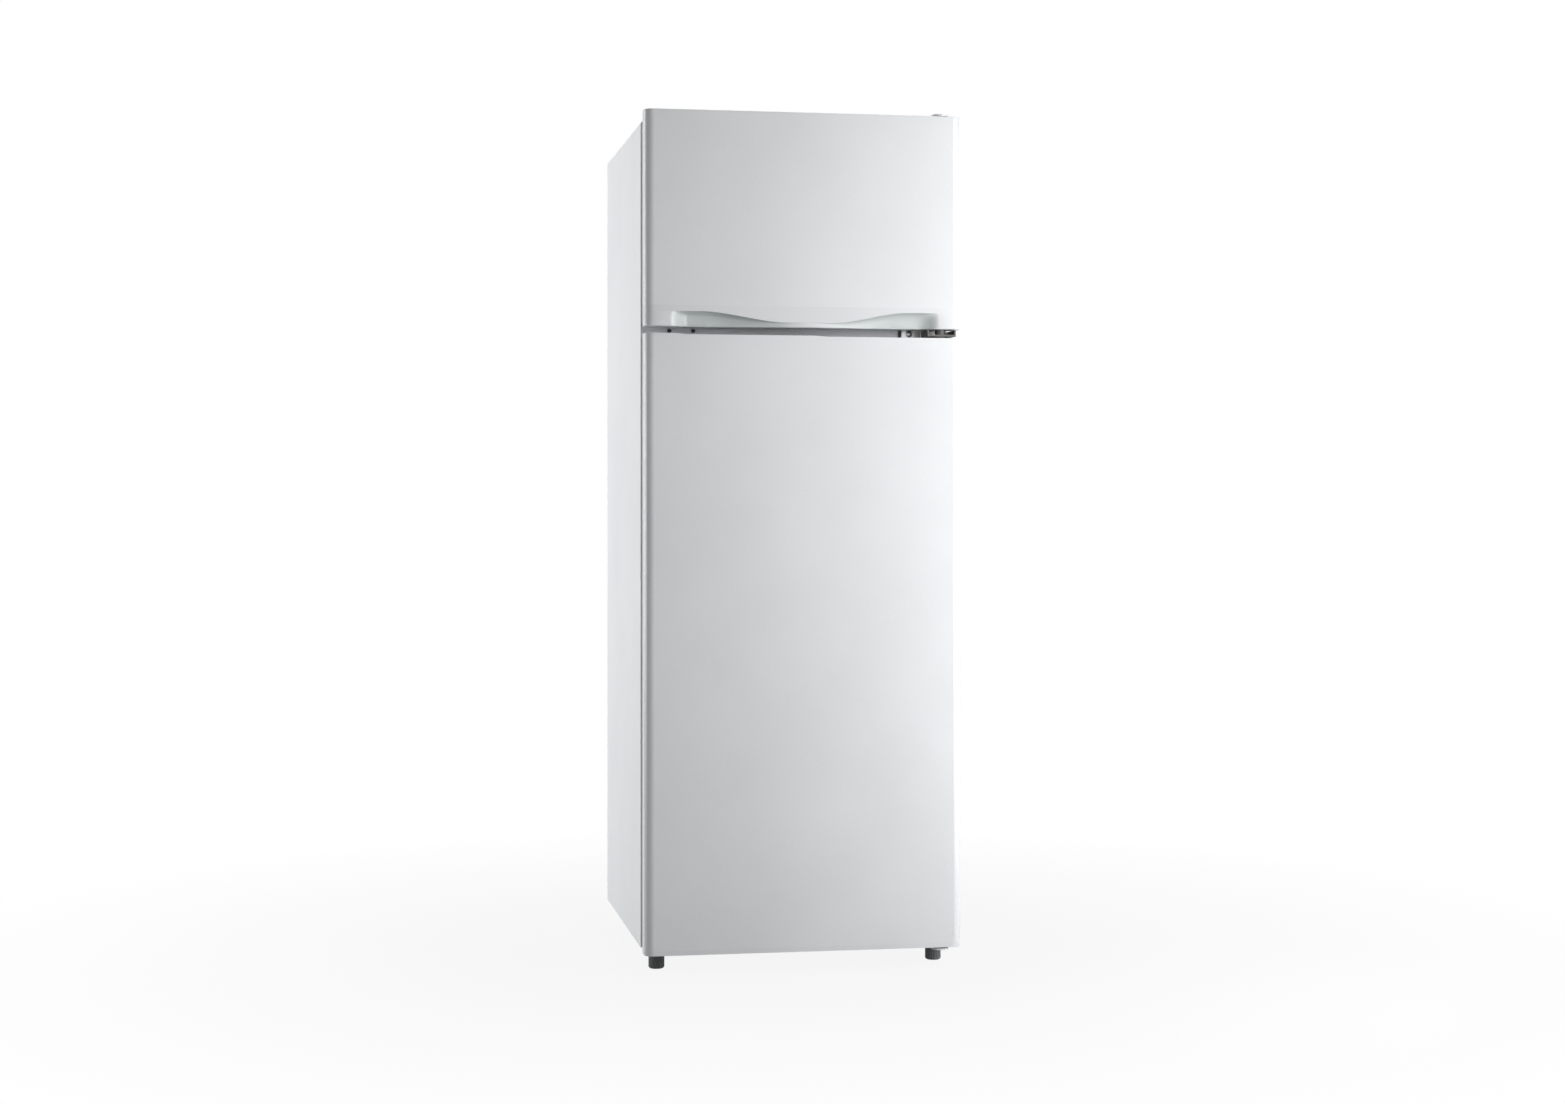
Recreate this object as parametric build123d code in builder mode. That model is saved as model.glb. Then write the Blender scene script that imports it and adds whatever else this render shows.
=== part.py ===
from build123d import *
import os

# Two-door refrigerator with the freezer on top and both doors hinged on the right.
# Millimetres, X to the right seen from the front, front towards -Y, Z up.
# The origin is on the floor, under the middle of the overall box.

# Driving dimensions
width = 540.0
door_front = -300.0
door_thickness = 46.0
door_bottom = 35.0
fridge_door_top = 1068.4
door_gap = 11.6
door_top = 1440.0
cabinet_bottom = 40.0
cabinet_top = 1428.0
cabinet_depth = 520.0
gasket_thickness = 14.0
overall_back = 300.0
steel = 1.0
liner_wall = 2.0
side_insulation = 54.0
back_insulation = 58.0
fridge_floor, fridge_ceiling = 88.0, 1038.0
freezer_floor, freezer_ceiling = 1110.0, 1376.0
niche_front, niche_top = 120.0, 268.0
niche_half = 250.0
step_front, step_top = 75.0, 312.0
hinge_x, hinge_y = 236.0, -283.0
pin_radius = 4.0
running_gap = 0.06
front_edge_radius = 15.0
back_edge_radius = 13.0

# Planes and half widths that follow from them
half = width / 2
door_back = door_front + door_thickness
cabinet_front = door_back + gasket_thickness
cabinet_back = cabinet_front + cabinet_depth
freezer_door_bottom = fridge_door_top + door_gap
cavity_half = half - side_insulation
cavity_back = cabinet_back - back_insulation
mouth_half = cavity_half + liner_wall
bend_radius, corner_radius = 6.0, 12.0
sleeve = 1.5
shelf_half = cavity_half - 3
shelf_front, shelf_back = -97.0, 207.0
cover_level, lower_level, upper_level, freezer_level = 318.0, 540.0, 785.0, 1236.0
ledge_width = 8.0
foot_x, foot_y = 240.0, -214.0
hinge_height = freezer_door_bottom - 5
door_opening = half - 16
ring_outer, ring_inner = 232.0, 220.0
rib_outer, rib_inner = 208.0, 190.0
rib_back = -215.0
bin_half = 186.0
drain_x, drain_y = 60.0, 190.0
compressor_x, compressor_y = 70.0, 200.0

os.makedirs("parts", exist_ok=True)


def export(shape, name):
    shape.label = name
    export_step(shape, f"parts/{name}.step")


def save(piece, name):
    export(piece.part, name)


def block(x, y, z, mode=Mode.ADD):
    """A box between two values on each axis, added to the part being built."""
    with Locations(((x[0] + x[1]) / 2, (y[0] + y[1]) / 2, (z[0] + z[1]) / 2)):
        Box(x[1] - x[0], y[1] - y[0], z[1] - z[0], mode=mode)


def upright(x, y, z, radius, mode=Mode.ADD):
    """A vertical cylinder at x, y between the two heights in z."""
    with Locations((x, y, (z[0] + z[1]) / 2)):
        Cylinder(radius, z[1] - z[0], mode=mode)


def lying(x, y, z, radius, rotation, mode=Mode.ADD):
    """A cylinder along X or Y: the span is the coordinate given as a pair."""
    spans = [v if isinstance(v, tuple) else (v, v) for v in (x, y, z)]
    length = max(b - a for a, b in spans)
    with Locations(tuple((a + b) / 2 for a, b in spans)):
        Cylinder(radius, length, rotation=rotation, mode=mode)


along_x = (0, 90, 0)
along_y = (90, 0, 0)

# Outlines shared by the sheets, the liners and the foam of the cabinet
fridge_points = [
    (cabinet_front, fridge_floor),
    (step_front, fridge_floor),
    (step_front, step_top - 40),
    (step_front + 40, step_top),
    (cavity_back, step_top),
    (cavity_back, fridge_ceiling),
    (cabinet_front, fridge_ceiling),
]
freezer_points = [
    (cabinet_front, freezer_floor),
    (cavity_back, freezer_floor),
    (cavity_back, freezer_ceiling),
    (cabinet_front, freezer_ceiling),
]
niche_points = [
    (niche_front, cabinet_bottom),
    (cabinet_back, cabinet_bottom),
    (cabinet_back, niche_top),
    (niche_front + 40, niche_top),
    (niche_front, niche_top - 40),
]


def cabinet_arch(inset, y):
    """Front view of the cabinet: straight sides, flat top, bent top corners."""
    with BuildSketch(Plane.XZ.offset(-y)) as outline:
        with Locations((0, (cabinet_bottom + cabinet_top - inset) / 2)):
            Rectangle(width - 2 * inset, cabinet_top - inset - cabinet_bottom)
        fillet(outline.vertices().group_by(Axis.Y)[-1], bend_radius - inset)
    return outline.sketch


def side_view(points, radius, grow):
    """A compartment's outline in the YZ plane, rounded everywhere but at its mouth."""
    with BuildSketch(Plane.YZ) as outline:
        with BuildLine():
            Polyline(*points, close=True)
        make_face()
        fillet(outline.vertices().filter_by(lambda v: v.X > cabinet_front + 1), radius)
        if grow:
            offset(amount=grow)
    return outline.sketch


def compartment(points, grow):
    """The air space of a compartment, or with grow the outside of its liner."""
    with BuildPart() as space:
        extrude(side_view(points, corner_radius, grow), amount=cavity_half + grow, both=True)
        block((-half, half), (cabinet_front - 20, cabinet_front), (0, door_top), Mode.SUBTRACT)
        # The rounding runs on round the whole side wall, because its edges are tangent
        fillet(space.edges().filter_by(Axis.Z).group_by(Axis.Y)[-1], corner_radius + grow)
    return space.part


def niche(grow):
    """The compressor niche, or with grow the outside of the sheet that lines it."""
    with BuildPart() as space:
        with BuildSketch(Plane.YZ) as outline:
            with BuildLine():
                Polyline(*niche_points, close=True)
            make_face()
            if grow:
                offset(amount=grow, kind=Kind.INTERSECTION)
        extrude(amount=niche_half + grow, both=True)
        block((-half, half), (cabinet_front, overall_back), (0, cabinet_bottom), Mode.SUBTRACT)
    return space.part


fridge_space = compartment(fridge_points, 0)
fridge_envelope = compartment(fridge_points, liner_wall)
freezer_space = compartment(freezer_points, 0)
freezer_envelope = compartment(freezer_points, liner_wall)

# Screws: x, y and z of the seat under the head, and the direction the head faces
screw_radius, screw_head, screw_length = 2.0, 5.5, 14.0
screws = [
    ((191, cabinet_front - 3, hinge_height), "front"),
    ((hinge_x, cabinet_front - 0.4, hinge_height + 10.5), "front"),
    ((206, -200, cabinet_top + 3), "up"),
    ((252, -200, cabinet_top + 3), "up"),
    ((229, -178, cabinet_top + 3), "up"),
    ((216, -182, cabinet_bottom - 3), "down"),
    ((252, -182, cabinet_bottom - 3), "down"),
    ((-216, -182, cabinet_bottom - 3), "down"),
    ((-252, -182, cabinet_bottom - 3), "down"),
]
plug_holes = [(-221.5, hinge_height + 1), (-181, hinge_height + 1), (175, hinge_height)]
plug_radius = 2.0


def screw_shanks(mode=Mode.ADD):
    for (x, y, z), facing in screws:
        if facing == "front":
            lying(x, (y, y + screw_length), z, screw_radius, along_y, mode)
        elif facing == "up":
            upright(x, y, (z - screw_length, z), screw_radius, mode)
        else:
            upright(x, y, (z, z + screw_length), screw_radius, mode)


def screw_heads(mode=Mode.ADD):
    thick = 2.5
    for (x, y, z), facing in screws:
        if facing == "front":
            lying(x, (y - thick, y), z, screw_head, along_y, mode)
        elif facing == "up":
            upright(x, y, (z, z + thick), screw_head, mode)
        else:
            upright(x, y, (z - thick, z), screw_head, mode)


def plug_shanks(mode=Mode.ADD):
    for x, z in plug_holes:
        lying(x, (cabinet_front, cabinet_front + 8), z, plug_radius, along_y, mode)


def stud_holes(radius, z):
    for x in (-foot_x, foot_x):
        upright(x, foot_y, z, radius, Mode.SUBTRACT)


# Cabinet: sheets, liners and foam
with BuildPart() as cabinet_shell:
    extrude(cabinet_arch(0, cabinet_front), amount=-cabinet_depth)
    extrude(cabinet_arch(steel, cabinet_front + steel), amount=-cabinet_depth, mode=Mode.SUBTRACT)
    block((-mouth_half, mouth_half), (cabinet_front, cabinet_front + steel),
          (cabinet_bottom, freezer_ceiling - corner_radius), Mode.SUBTRACT)
    add(freezer_envelope, mode=Mode.SUBTRACT)
    screw_shanks(Mode.SUBTRACT)
    plug_shanks(Mode.SUBTRACT)
save(cabinet_shell, "cabinet_shell")

with BuildPart() as back_panel:
    extrude(cabinet_arch(steel, cabinet_back - steel), amount=-steel)
    niche_side = niche_half + steel
    block((-niche_side, niche_side), (cabinet_back - 5, cabinet_back + 5), (0, niche_top), Mode.SUBTRACT)
save(back_panel, "back_panel")

# One bent sheet: the cabinet's floor, its front flange and the walls of the compressor niche
with BuildPart() as base_panel:
    inside = half - steel
    floor = (cabinet_bottom, cabinet_bottom + steel)
    block((-inside, inside), (cabinet_front + steel, niche_front - steel), floor)
    block((-mouth_half, mouth_half), (cabinet_front, cabinet_front + steel),
          (cabinet_bottom, fridge_floor + corner_radius))
    add(fridge_envelope, mode=Mode.SUBTRACT)
    for side in (-1, 1):
        edges = sorted((side * niche_half, side * inside))
        block(edges, (niche_front - steel, cabinet_back - steel), floor)
    add(niche(steel))
    add(niche(0), mode=Mode.SUBTRACT)
    block((-half, half), (cabinet_back - steel, overall_back), (0, door_top), Mode.SUBTRACT)
    upright(drain_x, drain_y, (niche_top - 5, niche_top + 5), 9, Mode.SUBTRACT)
    screw_shanks(Mode.SUBTRACT)
    stud_holes(6, (30, 60))
save(base_panel, "base_panel")

with BuildPart() as mullion_panel:
    block((-mouth_half, mouth_half), (cabinet_front, cabinet_front + steel),
          (fridge_ceiling - corner_radius, freezer_floor + corner_radius))
    add([fridge_envelope, freezer_envelope], mode=Mode.SUBTRACT)
    screw_shanks(Mode.SUBTRACT)
    plug_shanks(Mode.SUBTRACT)
save(mullion_panel, "mullion_panel")

with BuildPart() as evaporator_plates:
    grown = liner_wall + sleeve
    block((-cavity_half - grown, cavity_half + grown), (-190, 190),
          (freezer_floor - grown, freezer_ceiling + grown))
    block((-mouth_half, mouth_half), (-200, 200),
          (freezer_floor - liner_wall, freezer_ceiling + liner_wall), Mode.SUBTRACT)
    block((-180, 180), (cavity_back + liner_wall, cavity_back + liner_wall + 2), (560, 960))
save(evaporator_plates, "evaporator_plates")

# Foam: plain slabs that meet face to face, square where the liners are rounded
foam_x = half - steel
foam_y = (cabinet_front + steel, cabinet_back - steel)
foam_z = (cabinet_bottom + steel, cabinet_top - steel)
fridge_z = (fridge_floor - liner_wall, fridge_ceiling + liner_wall)
freezer_z = (freezer_floor - liner_wall, freezer_ceiling + liner_wall)
liner_back = cavity_back + liner_wall
step_wall, step_roof = step_front + liner_wall, step_top - liner_wall
niche_wall, niche_roof = niche_front - steel, niche_top + steel
# The niche's slanted corner, one sheet's thickness out from its air space
slant_low, slant_back = niche_top - 40 + 0.4, niche_front + 40 - 0.4


def foam_slab(x, y, z, slant=False):
    """A block of foam, less what is buried in it; with slant, only what is above the niche's slant."""
    with BuildPart() as piece:
        block(x, y, z)
        extrude(cabinet_arch(steel, foam_y[0]), amount=foam_y[0] - foam_y[1], mode=Mode.INTERSECT)
        if slant:
            add([niche(steel), fridge_envelope], mode=Mode.SUBTRACT)
        add(evaporator_plates.part, mode=Mode.SUBTRACT)
        upright(drain_x, drain_y, (niche_top, step_top), 9, Mode.SUBTRACT)
        stud_holes(6, (30, 60))
        screw_shanks(Mode.SUBTRACT)
        plug_shanks(Mode.SUBTRACT)
    return piece.part


centre_x = (-mouth_half, mouth_half)
slabs = [
    foam_slab(centre_x, (foam_y[0], niche_wall), (foam_z[0], fridge_z[0])),
    foam_slab(centre_x, (step_wall, niche_wall), (fridge_z[0], slant_low)),
    foam_slab(centre_x, (step_wall, slant_back), (slant_low, step_roof), slant=True),
    foam_slab(centre_x, (slant_back, foam_y[1]), (niche_roof, step_roof)),
    foam_slab(centre_x, (liner_back, foam_y[1]), (step_roof, fridge_z[1])),
    foam_slab(centre_x, foam_y, (fridge_z[1], freezer_z[0])),
    foam_slab(centre_x, (liner_back, foam_y[1]), freezer_z),
    foam_slab(centre_x, foam_y, (freezer_z[1], foam_z[1])),
]
for side in (-1, 1):
    wall_x = sorted((side * mouth_half, side * foam_x))
    slabs += [
        foam_slab(wall_x, (foam_y[0], niche_wall), foam_z),
        foam_slab(wall_x, (niche_wall, foam_y[1]), (niche_roof, foam_z[1])),
        foam_slab(sorted((side * niche_side, side * foam_x)), (niche_wall, foam_y[1]), (foam_z[0], niche_roof)),
        foam_slab(sorted((side * mouth_half, side * niche_side)), (niche_wall, slant_back),
                  (slant_low, niche_roof), slant=True),
    ]
export(Compound([slab.solid() for slab in slabs]), "cabinet_foam")


def ledges(level, y):
    """The pair of moulded ribs in the side walls that a shelf rests on."""
    for side in (-1, 1):
        edges = sorted((side * (cavity_half - ledge_width), side * (cavity_half + 1)))
        block(edges, y, (level - 6, level))


with BuildPart() as fridge_liner:
    add(fridge_envelope)
    add(fridge_space, mode=Mode.SUBTRACT)
    ledges(cover_level, (-60, 100))
    for level in (lower_level, upper_level):
        ledges(level, (-60, 205))
    upright(drain_x, drain_y, (step_top - 5, step_top + 5), 7, Mode.SUBTRACT)
save(fridge_liner, "fridge_liner")

with BuildPart() as freezer_liner:
    add(freezer_envelope)
    add(freezer_space, mode=Mode.SUBTRACT)
    ledges(freezer_level, (-60, 205))
save(freezer_liner, "freezer_liner")

with BuildPart() as drain_tube:
    upright(drain_x, drain_y, (niche_top - 18, step_top - liner_wall), 9)
    upright(drain_x, drain_y, (niche_top - 18, step_top - liner_wall), 7, Mode.SUBTRACT)
save(drain_tube, "drain_tube")

# Hinges, brackets and their fasteners
pin_reach = 22.0


def hinge_arm(z, tail):
    """A flat arm, rounded about the hinge pin and square at its tail."""
    reach = 14
    with BuildSketch(Plane.XY.offset(z)) as arm:
        with Locations((hinge_x, hinge_y)):
            Circle(reach)
        with Locations((hinge_x, (hinge_y + tail) / 2)):
            Rectangle(2 * reach, tail - hinge_y)
    return arm.sketch


with BuildPart() as top_hinge:
    extrude(hinge_arm(door_top + 1.5, cabinet_front + 4), amount=3)
    block((hinge_x - 14, hinge_x + 14), (cabinet_front + 1, cabinet_front + 4), (cabinet_top, door_top + 2))
    block((196, 262), (cabinet_front + 3, -166), (cabinet_top, cabinet_top + 3))
    upright(hinge_x, hinge_y, (door_top - pin_reach + 4, door_top + 2), pin_radius)
    screw_shanks(Mode.SUBTRACT)
save(top_hinge, "top_hinge")

with BuildPart() as top_hinge_cover:
    block((188, 268), (cabinet_front + 0.5, -156), (cabinet_top, door_top + 7))
    fillet(top_hinge_cover.edges().filter_by(Axis.Z), 5)
    fillet(top_hinge_cover.faces().sort_by(Axis.Z)[-1].edges(), 3)
    block((190, 266), (cabinet_front + 2.5, -158), (cabinet_top, door_top + 5), Mode.SUBTRACT)
    block((hinge_x - 15, hinge_x + 15), (cabinet_front, cabinet_front + 5), (cabinet_top, door_top + 5),
          Mode.SUBTRACT)
save(top_hinge_cover, "top_hinge_cover")

leaf_bottom = freezer_door_bottom - 12
leaf_top = leaf_bottom + 3
plate_half = 17
with BuildPart() as middle_hinge:
    block((178, 262), (cabinet_front - 3, cabinet_front),
          (hinge_height - plate_half, hinge_height + plate_half))
    leaf_half = 24.5
    leaf_y = (hinge_y - 12, cabinet_front - 1)
    block((hinge_x - leaf_half, hinge_x + leaf_half), leaf_y, (leaf_bottom, leaf_top))
    for side in (-1, 1):
        edges = sorted((hinge_x + side * leaf_half, hinge_x + side * (leaf_half - 2.5)))
        block(edges, leaf_y, (leaf_bottom, freezer_door_bottom - 1))
    upright(hinge_x, hinge_y, (leaf_bottom - 18, freezer_door_bottom + 14), pin_radius)
    screw_shanks(Mode.SUBTRACT)
    screw_heads(Mode.SUBTRACT)
save(middle_hinge, "middle_hinge")

# Under the cabinet: the bottom hinge on the right, and its twin for the left foot alone
with BuildPart() as bottom_brackets:
    for side in (-1, 1):
        edges = sorted((side * 206, side * 262))
        block(edges, (cabinet_front + 2, -166), (cabinet_bottom - 3, cabinet_bottom))
        block(edges, (cabinet_front + 2, cabinet_front + 4), (34, cabinet_bottom))
    block((hinge_x - 14, hinge_x + 14), (cabinet_front - 1, cabinet_front + 2), (29.5, cabinet_bottom))
    extrude(hinge_arm(29.5, cabinet_front + 2), amount=3)
    upright(hinge_x, hinge_y, (30, door_bottom + 16), pin_radius)
    stud_holes(pin_radius + running_gap, (36, 60))
    screw_shanks(Mode.SUBTRACT)
save(bottom_brackets, "bottom_brackets")

with BuildPart() as hinge_screws:
    screw_shanks()
    screw_heads()
save(hinge_screws, "hinge_screws")

# Two round plugs on the left, and an upright one beside the hinge plate
with BuildPart() as hinge_hole_plugs:
    plug_shanks()
    cap_y = (cabinet_front - 1.5, cabinet_front)
    for x, z in plug_holes[:-1]:
        lying(x, cap_y, z, plug_radius + 1.5, along_y)
    x, z = plug_holes[-1]
    block((x - 2.4, x + 2.4), cap_y, (z - plate_half, z + plate_half))
save(hinge_hole_plugs, "hinge_hole_plugs")

# Levelling feet and rear rollers
foot_radius, foot_height, roller_radius, roller_width = 13.5, 31.0, 17.0, 14.0
roller_x, roller_y = 225.0, 236.0
for side, name in ((-1, "front_foot_left"), (1, "front_foot_right")):
    with BuildPart() as front_foot:
        upright(side * foot_x, foot_y, (0, foot_height), foot_radius)
        fillet(front_foot.edges().group_by(Axis.Z)[0], 4)
        fillet(front_foot.edges().group_by(Axis.Z)[-1], 1)
        with Locations((side * foot_x, foot_y, foot_height / 2 + 3)):
            with PolarLocations(foot_radius + 0.6, 18):
                Cylinder(1.4, foot_height, mode=Mode.SUBTRACT)
        upright(side * foot_x, foot_y, (foot_height - 1, 52), pin_radius)
    save(front_foot, name)

    with BuildPart() as rear_roller:
        centre = side * roller_x
        lying((centre - roller_width / 2, centre + roller_width / 2), roller_y, roller_radius,
              roller_radius, along_x)
        fillet(rear_roller.edges().filter_by(GeomType.CIRCLE), 1.5)
        lying((centre - roller_width, centre + roller_width), roller_y, roller_radius,
              3 + running_gap, along_x, Mode.SUBTRACT)
    save(rear_roller, "rear_roller_left" if side < 0 else "rear_roller_right")

# Compressor and everything else in the niche
rail_top = 48.0
mounts = [(compressor_x + dx, compressor_y + dy) for dx in (-74, 74) for dy in (-40, 40)]
with BuildPart() as compressor_rail:
    rail_half = niche_half - 1
    block((-rail_half, rail_half), (136, 272), (rail_top - 2, rail_top))
    for y in ((136, 138), (270, 272)):
        block((-rail_half, rail_half), y, (rail_top, rail_top + 12))
    for side in (-1, 1):
        for offset_x in (-9, 9):
            ear = side * roller_x + offset_x
            block((ear - 1, ear + 1), (roller_y - 13, roller_y + 13), (8, rail_top - 1))
        centre = side * roller_x
        lying((centre - 12, centre + 12), roller_y, roller_radius, 3, along_x)
    for x, y in mounts:
        upright(x, y, (rail_top - 1, rail_top + 18), 3)
save(compressor_rail, "compressor_rail")


def pot(radius, z, bottom, top):
    """A drawn steel pot with a rounded floor and crown."""
    with BuildPart() as body:
        upright(compressor_x, compressor_y, z, radius)
        fillet(body.edges().group_by(Axis.Z)[0], bottom)
        fillet(body.edges().group_by(Axis.Z)[-1], top)
    return body.part


pot_radius, pot_z, pot_wall = 60.0, (60.0, 200.0), 3.0
with BuildPart() as compressor:
    add(pot(pot_radius, pot_z, 22, 30))
    upright(compressor_x, compressor_y, (126, 131), pot_radius + 4)
    block((compressor_x - 84, compressor_x + 84), (compressor_y - 50, compressor_y + 50), (57, 60))
    add(pot(pot_radius - pot_wall, (pot_z[0] + pot_wall, pot_z[1] - pot_wall), 19, 27), mode=Mode.SUBTRACT)
    for x, y in mounts:
        upright(x, y, (55, 62), 3, Mode.SUBTRACT)
    upright(compressor_x, compressor_y, (75, 170), 38)
save(compressor, "compressor")

with BuildPart() as compressor_grommets:
    for x, y in mounts:
        upright(x, y, (rail_top, 57), 9)
        upright(x, y, (rail_top, 57), 3, Mode.SUBTRACT)
save(compressor_grommets, "compressor_grommets")

with BuildPart() as relay_cover:
    block((-42, 30), (compressor_y - 30, compressor_y + 30), (80, 122))
    fillet(relay_cover.edges().filter_by(Axis.Z), 4)
    upright(compressor_x, compressor_y, (70, 130), pot_radius, Mode.SUBTRACT)
save(relay_cover, "relay_cover")

gland_z = 100.0
with BuildPart() as cord_gland:
    relay_back = compressor_y + 30
    lying(-20, (relay_back, relay_back + 3), gland_z, 9, along_y)
    lying(-20, (relay_back, relay_back + 22), gland_z, 6.5, along_y)
    lying(-20, (relay_back, relay_back + 22), gland_z, 3.5, along_y, Mode.SUBTRACT)
save(cord_gland, "cord_gland")

with BuildPart() as evaporation_tray:
    block((-5, 145), (143, 257), (pot_z[1], pot_z[1] + 32))
    fillet(evaporation_tray.edges().filter_by(Axis.Z), 12)
    offset(amount=-2, openings=evaporation_tray.faces().sort_by(Axis.Z)[-1])
save(evaporation_tray, "evaporation_tray")

# Condenser on the back: one tube in passes, wires across it on both sides
condenser_y, tube_radius, wire_radius = 292.0, 2.5, 0.8
passes, pass_pitch, pass_bottom, pass_half = 20, 54.0, 340.0, 178.0
pass_top = pass_bottom + (passes - 1) * pass_pitch
turn = pass_pitch / 2
with BuildPart() as condenser_tube:
    with BuildLine() as path:
        for i in range(passes):
            z = pass_bottom + i * pass_pitch
            side = 1 if i % 2 == 0 else -1
            first = pass_half + turn if i == 0 else pass_half
            last = pass_half + turn if i == passes - 1 else pass_half
            Line((-side * first, condenser_y, z), (side * last, condenser_y, z))
            if i < passes - 1:
                middle = (side * (pass_half + turn), condenser_y, z + turn)
                ThreePointArc((side * pass_half, condenser_y, z), middle,
                              (side * pass_half, condenser_y, z + pass_pitch))
    with BuildSketch(Plane(path.line @ 0, z_dir=path.line % 0)):
        Circle(tube_radius)
    sweep()
save(condenser_tube, "condenser_tube")

with BuildPart() as condenser_wires:
    wire_y = tube_radius + wire_radius
    for y in (condenser_y - wire_y, condenser_y + wire_y):
        with Locations((0, y, (pass_bottom + pass_top) / 2)):
            with GridLocations(18, 1, 20, 1):
                Cylinder(wire_radius, pass_top - pass_bottom + 30)
save(condenser_wires, "condenser_wires")

with BuildPart() as condenser_spacers:
    for x in (-126, 126):
        for level in (1, 7, 13, 18):
            z = pass_bottom + level * pass_pitch
            block((x - 6, x + 6), (cabinet_back, overall_back), (z - 8, z + 8))
            lying((x - 10, x + 10), condenser_y, z, tube_radius, along_x, Mode.SUBTRACT)
save(condenser_spacers, "condenser_spacers")


def copper_run(points, radius, bend):
    """A rigid tube along straight runs joined by arcs."""
    with BuildPart() as run:
        with BuildLine() as path:
            FilletPolyline(*points, radius=bend)
        with BuildSketch(Plane(path.line @ 0, z_dir=path.line % 0)):
            Circle(radius)
        sweep()
    return run.part


shell_left, shell_right = compressor_x - pot_radius, compressor_x + pot_radius
end_x = pass_half + turn
drier_y, drier_z = 225, 150
discharge = [(shell_right, compressor_y, 110), (195, compressor_y, 110), (236, condenser_y, 110),
             (236, condenser_y, pass_top), (end_x, condenser_y, pass_top)]
liquid = [(-end_x, condenser_y, pass_bottom), (-236, condenser_y, pass_bottom),
          (-236, condenser_y, drier_z), (-236, drier_y, drier_z), (-205, drier_y, drier_z)]
suction = [(shell_left, compressor_y, 160), (-60, compressor_y, 160), (-60, compressor_y, niche_top)]
capillary = [(-105, drier_y, drier_z), (-80, drier_y, drier_z), (-80, drier_y, niche_top)]
with BuildPart() as refrigerant_tubes:
    add(copper_run(discharge, tube_radius, 12))
    add(copper_run(liquid, tube_radius, 10))
    add(copper_run(suction, 3.5, 14))
    add(copper_run(capillary, 1.2, 8))
    lying((shell_right, shell_right + 26), compressor_y, 150, 3, along_x)
    lying((-212, -98), drier_y, drier_z, 4, along_x)
    lying((-200, -110), drier_y, drier_z, 9.5, along_x)
save(refrigerant_tubes, "refrigerant_tubes")

# Control box under the ceiling of the fridge compartment
box_floor = 1004.0
knob_x, knob_y = -55.0, -110.0
lamp_x, lamp_z = 50.0, 1021.0
switch_x, switch_z = 80.0, 1021.0
lamp_window = ((5, 95), (-150, -50))
with BuildPart() as control_housing:
    block((-110, 110), (-200, -10), (box_floor, fridge_ceiling))
    fillet(control_housing.edges().filter_by(Axis.Z), 10)
    fillet(control_housing.faces().sort_by(Axis.Z)[0].edges(), 3)
    block((-107.5, 107.5), (-197.5, -12.5), (box_floor + 2.5, fridge_ceiling), Mode.SUBTRACT)
    block(*lamp_window, (box_floor - 1, box_floor + 4), Mode.SUBTRACT)
    block((lamp_x - 13, lamp_x + 13), (-45, -20), (box_floor + 2, fridge_ceiling))
    lying(lamp_x, (-60, -32), lamp_z, 6.5, along_y, Mode.SUBTRACT)
    upright(knob_x, knob_y, (box_floor - 1, box_floor + 4), 3.5 + running_gap, Mode.SUBTRACT)
    lying(switch_x, (-205, -190), switch_z, 3 + running_gap, along_y, Mode.SUBTRACT)
save(control_housing, "control_housing")

with BuildPart() as thermostat:
    block((knob_x - 20, knob_x + 20), (knob_y - 20, knob_y + 20), (box_floor + 6, fridge_ceiling))
    upright(knob_x, knob_y, (box_floor + 5, box_floor + 16), 3.5 + running_gap, Mode.SUBTRACT)
save(thermostat, "thermostat")

with BuildPart() as thermostat_knob:
    upright(knob_x, knob_y, (box_floor - 14, box_floor - 0.5), 17)
    fillet(thermostat_knob.edges().group_by(Axis.Z)[0], 2)
    with Locations((knob_x, knob_y, box_floor - 8)):
        with PolarLocations(17.6, 24):
            Cylinder(1.2, 18, mode=Mode.SUBTRACT)
    upright(knob_x, knob_y, (box_floor - 2, box_floor + 14), 3.5)
save(thermostat_knob, "thermostat_knob")

with BuildPart() as lamp_bulb:
    lying(lamp_x, (-62, -32), lamp_z, 6.5, along_y)
    lying(lamp_x, (-112, -62), lamp_z, 11, along_y)
    fillet(lamp_bulb.edges().filter_by(GeomType.CIRCLE).group_by(Axis.Y)[0], 10)
save(lamp_bulb, "lamp_bulb")

with BuildPart() as lamp_cover:
    block(*lamp_window, (box_floor - 5, box_floor + 2.5))
    fillet(lamp_cover.faces().sort_by(Axis.Z)[0].edges(), 4)
    block((7, 93), (-148, -52), (box_floor - 3, box_floor + 3), Mode.SUBTRACT)
save(lamp_cover, "lamp_cover")

with BuildPart() as light_switch_plunger:
    lying(switch_x, (rib_back + 1, -186), switch_z, 3, along_y)
    lying(switch_x, (-197.4, -195), switch_z, 5, along_y)
save(light_switch_plunger, "light_switch_plunger")


# Shelves, drawer and ice tray
def glass_sheet(level):
    block((-shelf_half, shelf_half), (shelf_front, shelf_back), (level, level + 4))


with BuildPart() as crisper_cover:
    glass_sheet(cover_level)
    fillet(crisper_cover.edges().filter_by(Axis.Z), 6)
save(crisper_cover, "crisper_cover")

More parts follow.
